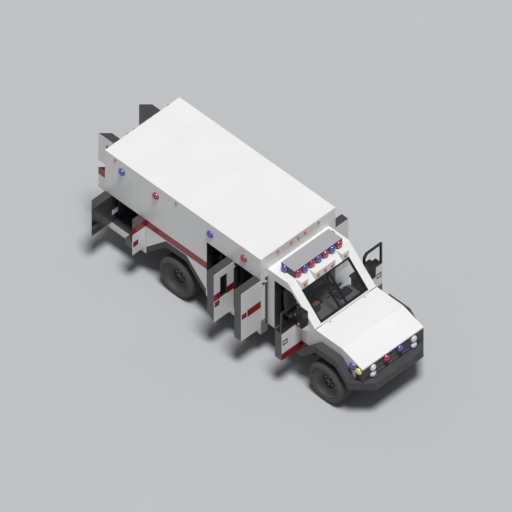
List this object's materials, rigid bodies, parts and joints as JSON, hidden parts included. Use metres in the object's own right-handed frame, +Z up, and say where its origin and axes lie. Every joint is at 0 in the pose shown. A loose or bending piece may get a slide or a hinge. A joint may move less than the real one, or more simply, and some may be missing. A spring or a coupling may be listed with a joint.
{
  "type": "ambulance",
  "caption": "Box-bodied ambulance on a bonneted truck chassis, with all doors and lockers standing open, a lifting hood, steered front wheels and rows of warning beacons.",
  "frame": {"origin": "on the ground, under the middle of the outline with the doors open", "axes": "+X forward, +Y to the vehicle's left, +Z up"},
  "size_m": [9.014, 3.728, 3.0798],
  "materials": {
    "body_white": "gloss white paint",
    "dark_trim": "matt dark grey moulding",
    "black_trim": "matt black",
    "chassis_black": "satin black paint",
    "plain_steel": "dull",
    "aluminium": "mill finish",
    "tyre": "matt",
    "wheel_paint": "satin",
    "window_glass": "clear",
    "dark_glass": "black tint",
    "red_lens": "gloss",
    "blue_lens": "gloss",
    "amber_lens": "gloss",
    "clear_lens": "gloss",
    "light_bar_grey": "satin",
    "seat_fabric": "woven",
    "bench_vinyl": "grained",
    "floor_covering": "matt",
    "cabinet": "satin"
  },
  "bodies": {
    "root": {"chassis_frame": "chassis_black", "front_axle": "chassis_black", "rear_axle": "chassis_black", "drive_shaft": "plain_steel", "engine_block": "plain_steel", "fuel_tank": "aluminium", "exhaust": "plain_steel", "front_bumper": "dark_trim", "rear_step": "aluminium", "fenders": "body_white", "grille_panel": "dark_trim", "grille_mesh": "black_trim", "cab_floor": "floor_covering", "cab_frame": "body_white", "windshield_frame": "black_trim", "windshield": "window_glass", "wheel_arch_trims": "dark_trim", "dashboard": "dark_trim", "cab_seats": "seat_fabric", "mirrors": "black_trim", "light_bar": "light_bar_grey", "module_floor": "floor_covering", "module_roof": "body_white", "module_side_left": "body_white", "module_side_right": "body_white", "module_front_wall": "body_white", "module_rear_wall": "body_white", "lockers": "dark_trim", "patient_bench": "bench_vinyl", "wall_cabinet": "cabinet", "red_beacons": "red_lens", "blue_beacons": "blue_lens", "amber_lamps": "amber_lens", "headlamps": "clear_lens"},
    "steer_left": {"knuckle_left": "chassis_black"},
    "steer_right": {"knuckle_right": "chassis_black"},
    "steering_wheel": {"steering_wheel": "black_trim"},
    "hood": {"hood": "body_white"},
    "cab_door_left": {"cab_door_left": "body_white"},
    "cab_door_right": {"cab_door_right": "body_white"},
    "entry_door": {"entry_door": "body_white", "entry_window": "dark_glass"},
    "front_locker_left": {"front_locker_door_left": "body_white"},
    "front_locker_right": {"front_locker_door_right": "body_white"},
    "wheel_front_left": {"tyre_front_left": "tyre", "rim_front_left": "wheel_paint"},
    "wheel_rear_left": {"tyre_rear_left": "tyre", "rim_rear_left": "wheel_paint"},
    "rear_locker_a_left": {"rear_locker_door_a_left": "body_white"},
    "rear_locker_b_left": {"rear_locker_door_b_left": "body_white"},
    "rear_door_left": {"rear_door_left": "body_white", "rear_window_left": "dark_glass"},
    "wheel_front_right": {"tyre_front_right": "tyre", "rim_front_right": "wheel_paint"},
    "wheel_rear_right": {"tyre_rear_right": "tyre", "rim_rear_right": "wheel_paint"},
    "rear_locker_a_right": {"rear_locker_door_a_right": "body_white"},
    "rear_locker_b_right": {"rear_locker_door_b_right": "body_white"},
    "rear_door_right": {"rear_door_right": "body_white", "rear_window_right": "dark_glass"}
  },
  "joints": [
    {"name": "steer_left", "type": "hinge", "parent": "root", "child": "steer_left", "pos_m": [3.297, 0.85, 0.55], "axis": [0, 0, 1], "range_deg": [-30, 30]},
    {"name": "front_wheel_left_spin", "type": "hinge", "parent": "steer_left", "child": "wheel_front_left", "pos_m": [3.297, 1.02, 0.55], "axis": [0, 1, 0], "continuous": true},
    {"name": "rear_wheel_left_spin", "type": "hinge", "parent": "root", "child": "wheel_rear_left", "pos_m": [-1.543, 1.02, 0.55], "axis": [0, 1, 0], "continuous": true},
    {"name": "steer_right", "type": "hinge", "parent": "root", "child": "steer_right", "pos_m": [3.297, -0.85, 0.55], "axis": [0, 0, 1], "range_deg": [-30, 30]},
    {"name": "front_wheel_right_spin", "type": "hinge", "parent": "steer_right", "child": "wheel_front_right", "pos_m": [3.297, -1.02, 0.55], "axis": [0, 1, 0], "continuous": true},
    {"name": "rear_wheel_right_spin", "type": "hinge", "parent": "root", "child": "wheel_rear_right", "pos_m": [-1.543, -1.02, 0.55], "axis": [0, 1, 0], "continuous": true},
    {"name": "steering_wheel_turn", "type": "hinge", "parent": "root", "child": "steering_wheel", "pos_m": [1.967, 0.44, 1.54], "axis": [-0.8829, 0, 0.4695], "range_deg": [-360, 360]},
    {"name": "hood_lift", "type": "hinge", "parent": "root", "child": "hood", "pos_m": [2.775, 0, 1.74], "axis": [0, -1, 0], "range_deg": [0, 50]},
    {"name": "cab_door_left_swing", "type": "hinge", "parent": "root", "child": "cab_door_left", "pos_m": [2.197, 0.88, 1.3], "axis": [0, 0, 1], "range_deg": [0, 90]},
    {"name": "front_locker_left_swing", "type": "hinge", "parent": "root", "child": "front_locker_left", "pos_m": [1.097, 1.1, 1.6], "axis": [0, 0, 1], "range_deg": [0, 90]},
    {"name": "rear_locker_a_left_swing", "type": "hinge", "parent": "root", "child": "rear_locker_a_left", "pos_m": [-2.643, 1.1, 1.3], "axis": [0, 0, 1], "range_deg": [0, 90]},
    {"name": "rear_locker_b_left_swing", "type": "hinge", "parent": "root", "child": "rear_locker_b_left", "pos_m": [-3.743, 1.1, 1.3], "axis": [0, 0, -1], "range_deg": [0, 90]},
    {"name": "rear_door_left_swing", "type": "hinge", "parent": "root", "child": "rear_door_left", "pos_m": [-3.743, 0.66, 2], "axis": [0, 0, 1], "range_deg": [0, 90]},
    {"name": "cab_door_right_swing", "type": "hinge", "parent": "root", "child": "cab_door_right", "pos_m": [2.197, -0.88, 1.3], "axis": [0, 0, -1], "range_deg": [0, 90]},
    {"name": "front_locker_right_swing", "type": "hinge", "parent": "root", "child": "front_locker_right", "pos_m": [1.097, -1.1, 1.6], "axis": [0, 0, -1], "range_deg": [0, 90]},
    {"name": "rear_locker_a_right_swing", "type": "hinge", "parent": "root", "child": "rear_locker_a_right", "pos_m": [-2.643, -1.1, 1.3], "axis": [0, 0, -1], "range_deg": [0, 90]},
    {"name": "rear_locker_b_right_swing", "type": "hinge", "parent": "root", "child": "rear_locker_b_right", "pos_m": [-3.743, -1.1, 1.3], "axis": [0, 0, 1], "range_deg": [0, 90]},
    {"name": "rear_door_right_swing", "type": "hinge", "parent": "root", "child": "rear_door_right", "pos_m": [-3.743, -0.66, 2], "axis": [0, 0, -1], "range_deg": [0, 90]},
    {"name": "entry_door_swing", "type": "hinge", "parent": "root", "child": "entry_door", "pos_m": [0.217, -1.1, 1.6], "axis": [0, 0, -1], "range_deg": [0, 90]}
  ],
  "couplings": [
    {"joint": "steer_right", "follows": "steer_left", "ratio": 1},
    {"joint": "steering_wheel_turn", "follows": "steer_left", "ratio": 12}
  ]
}
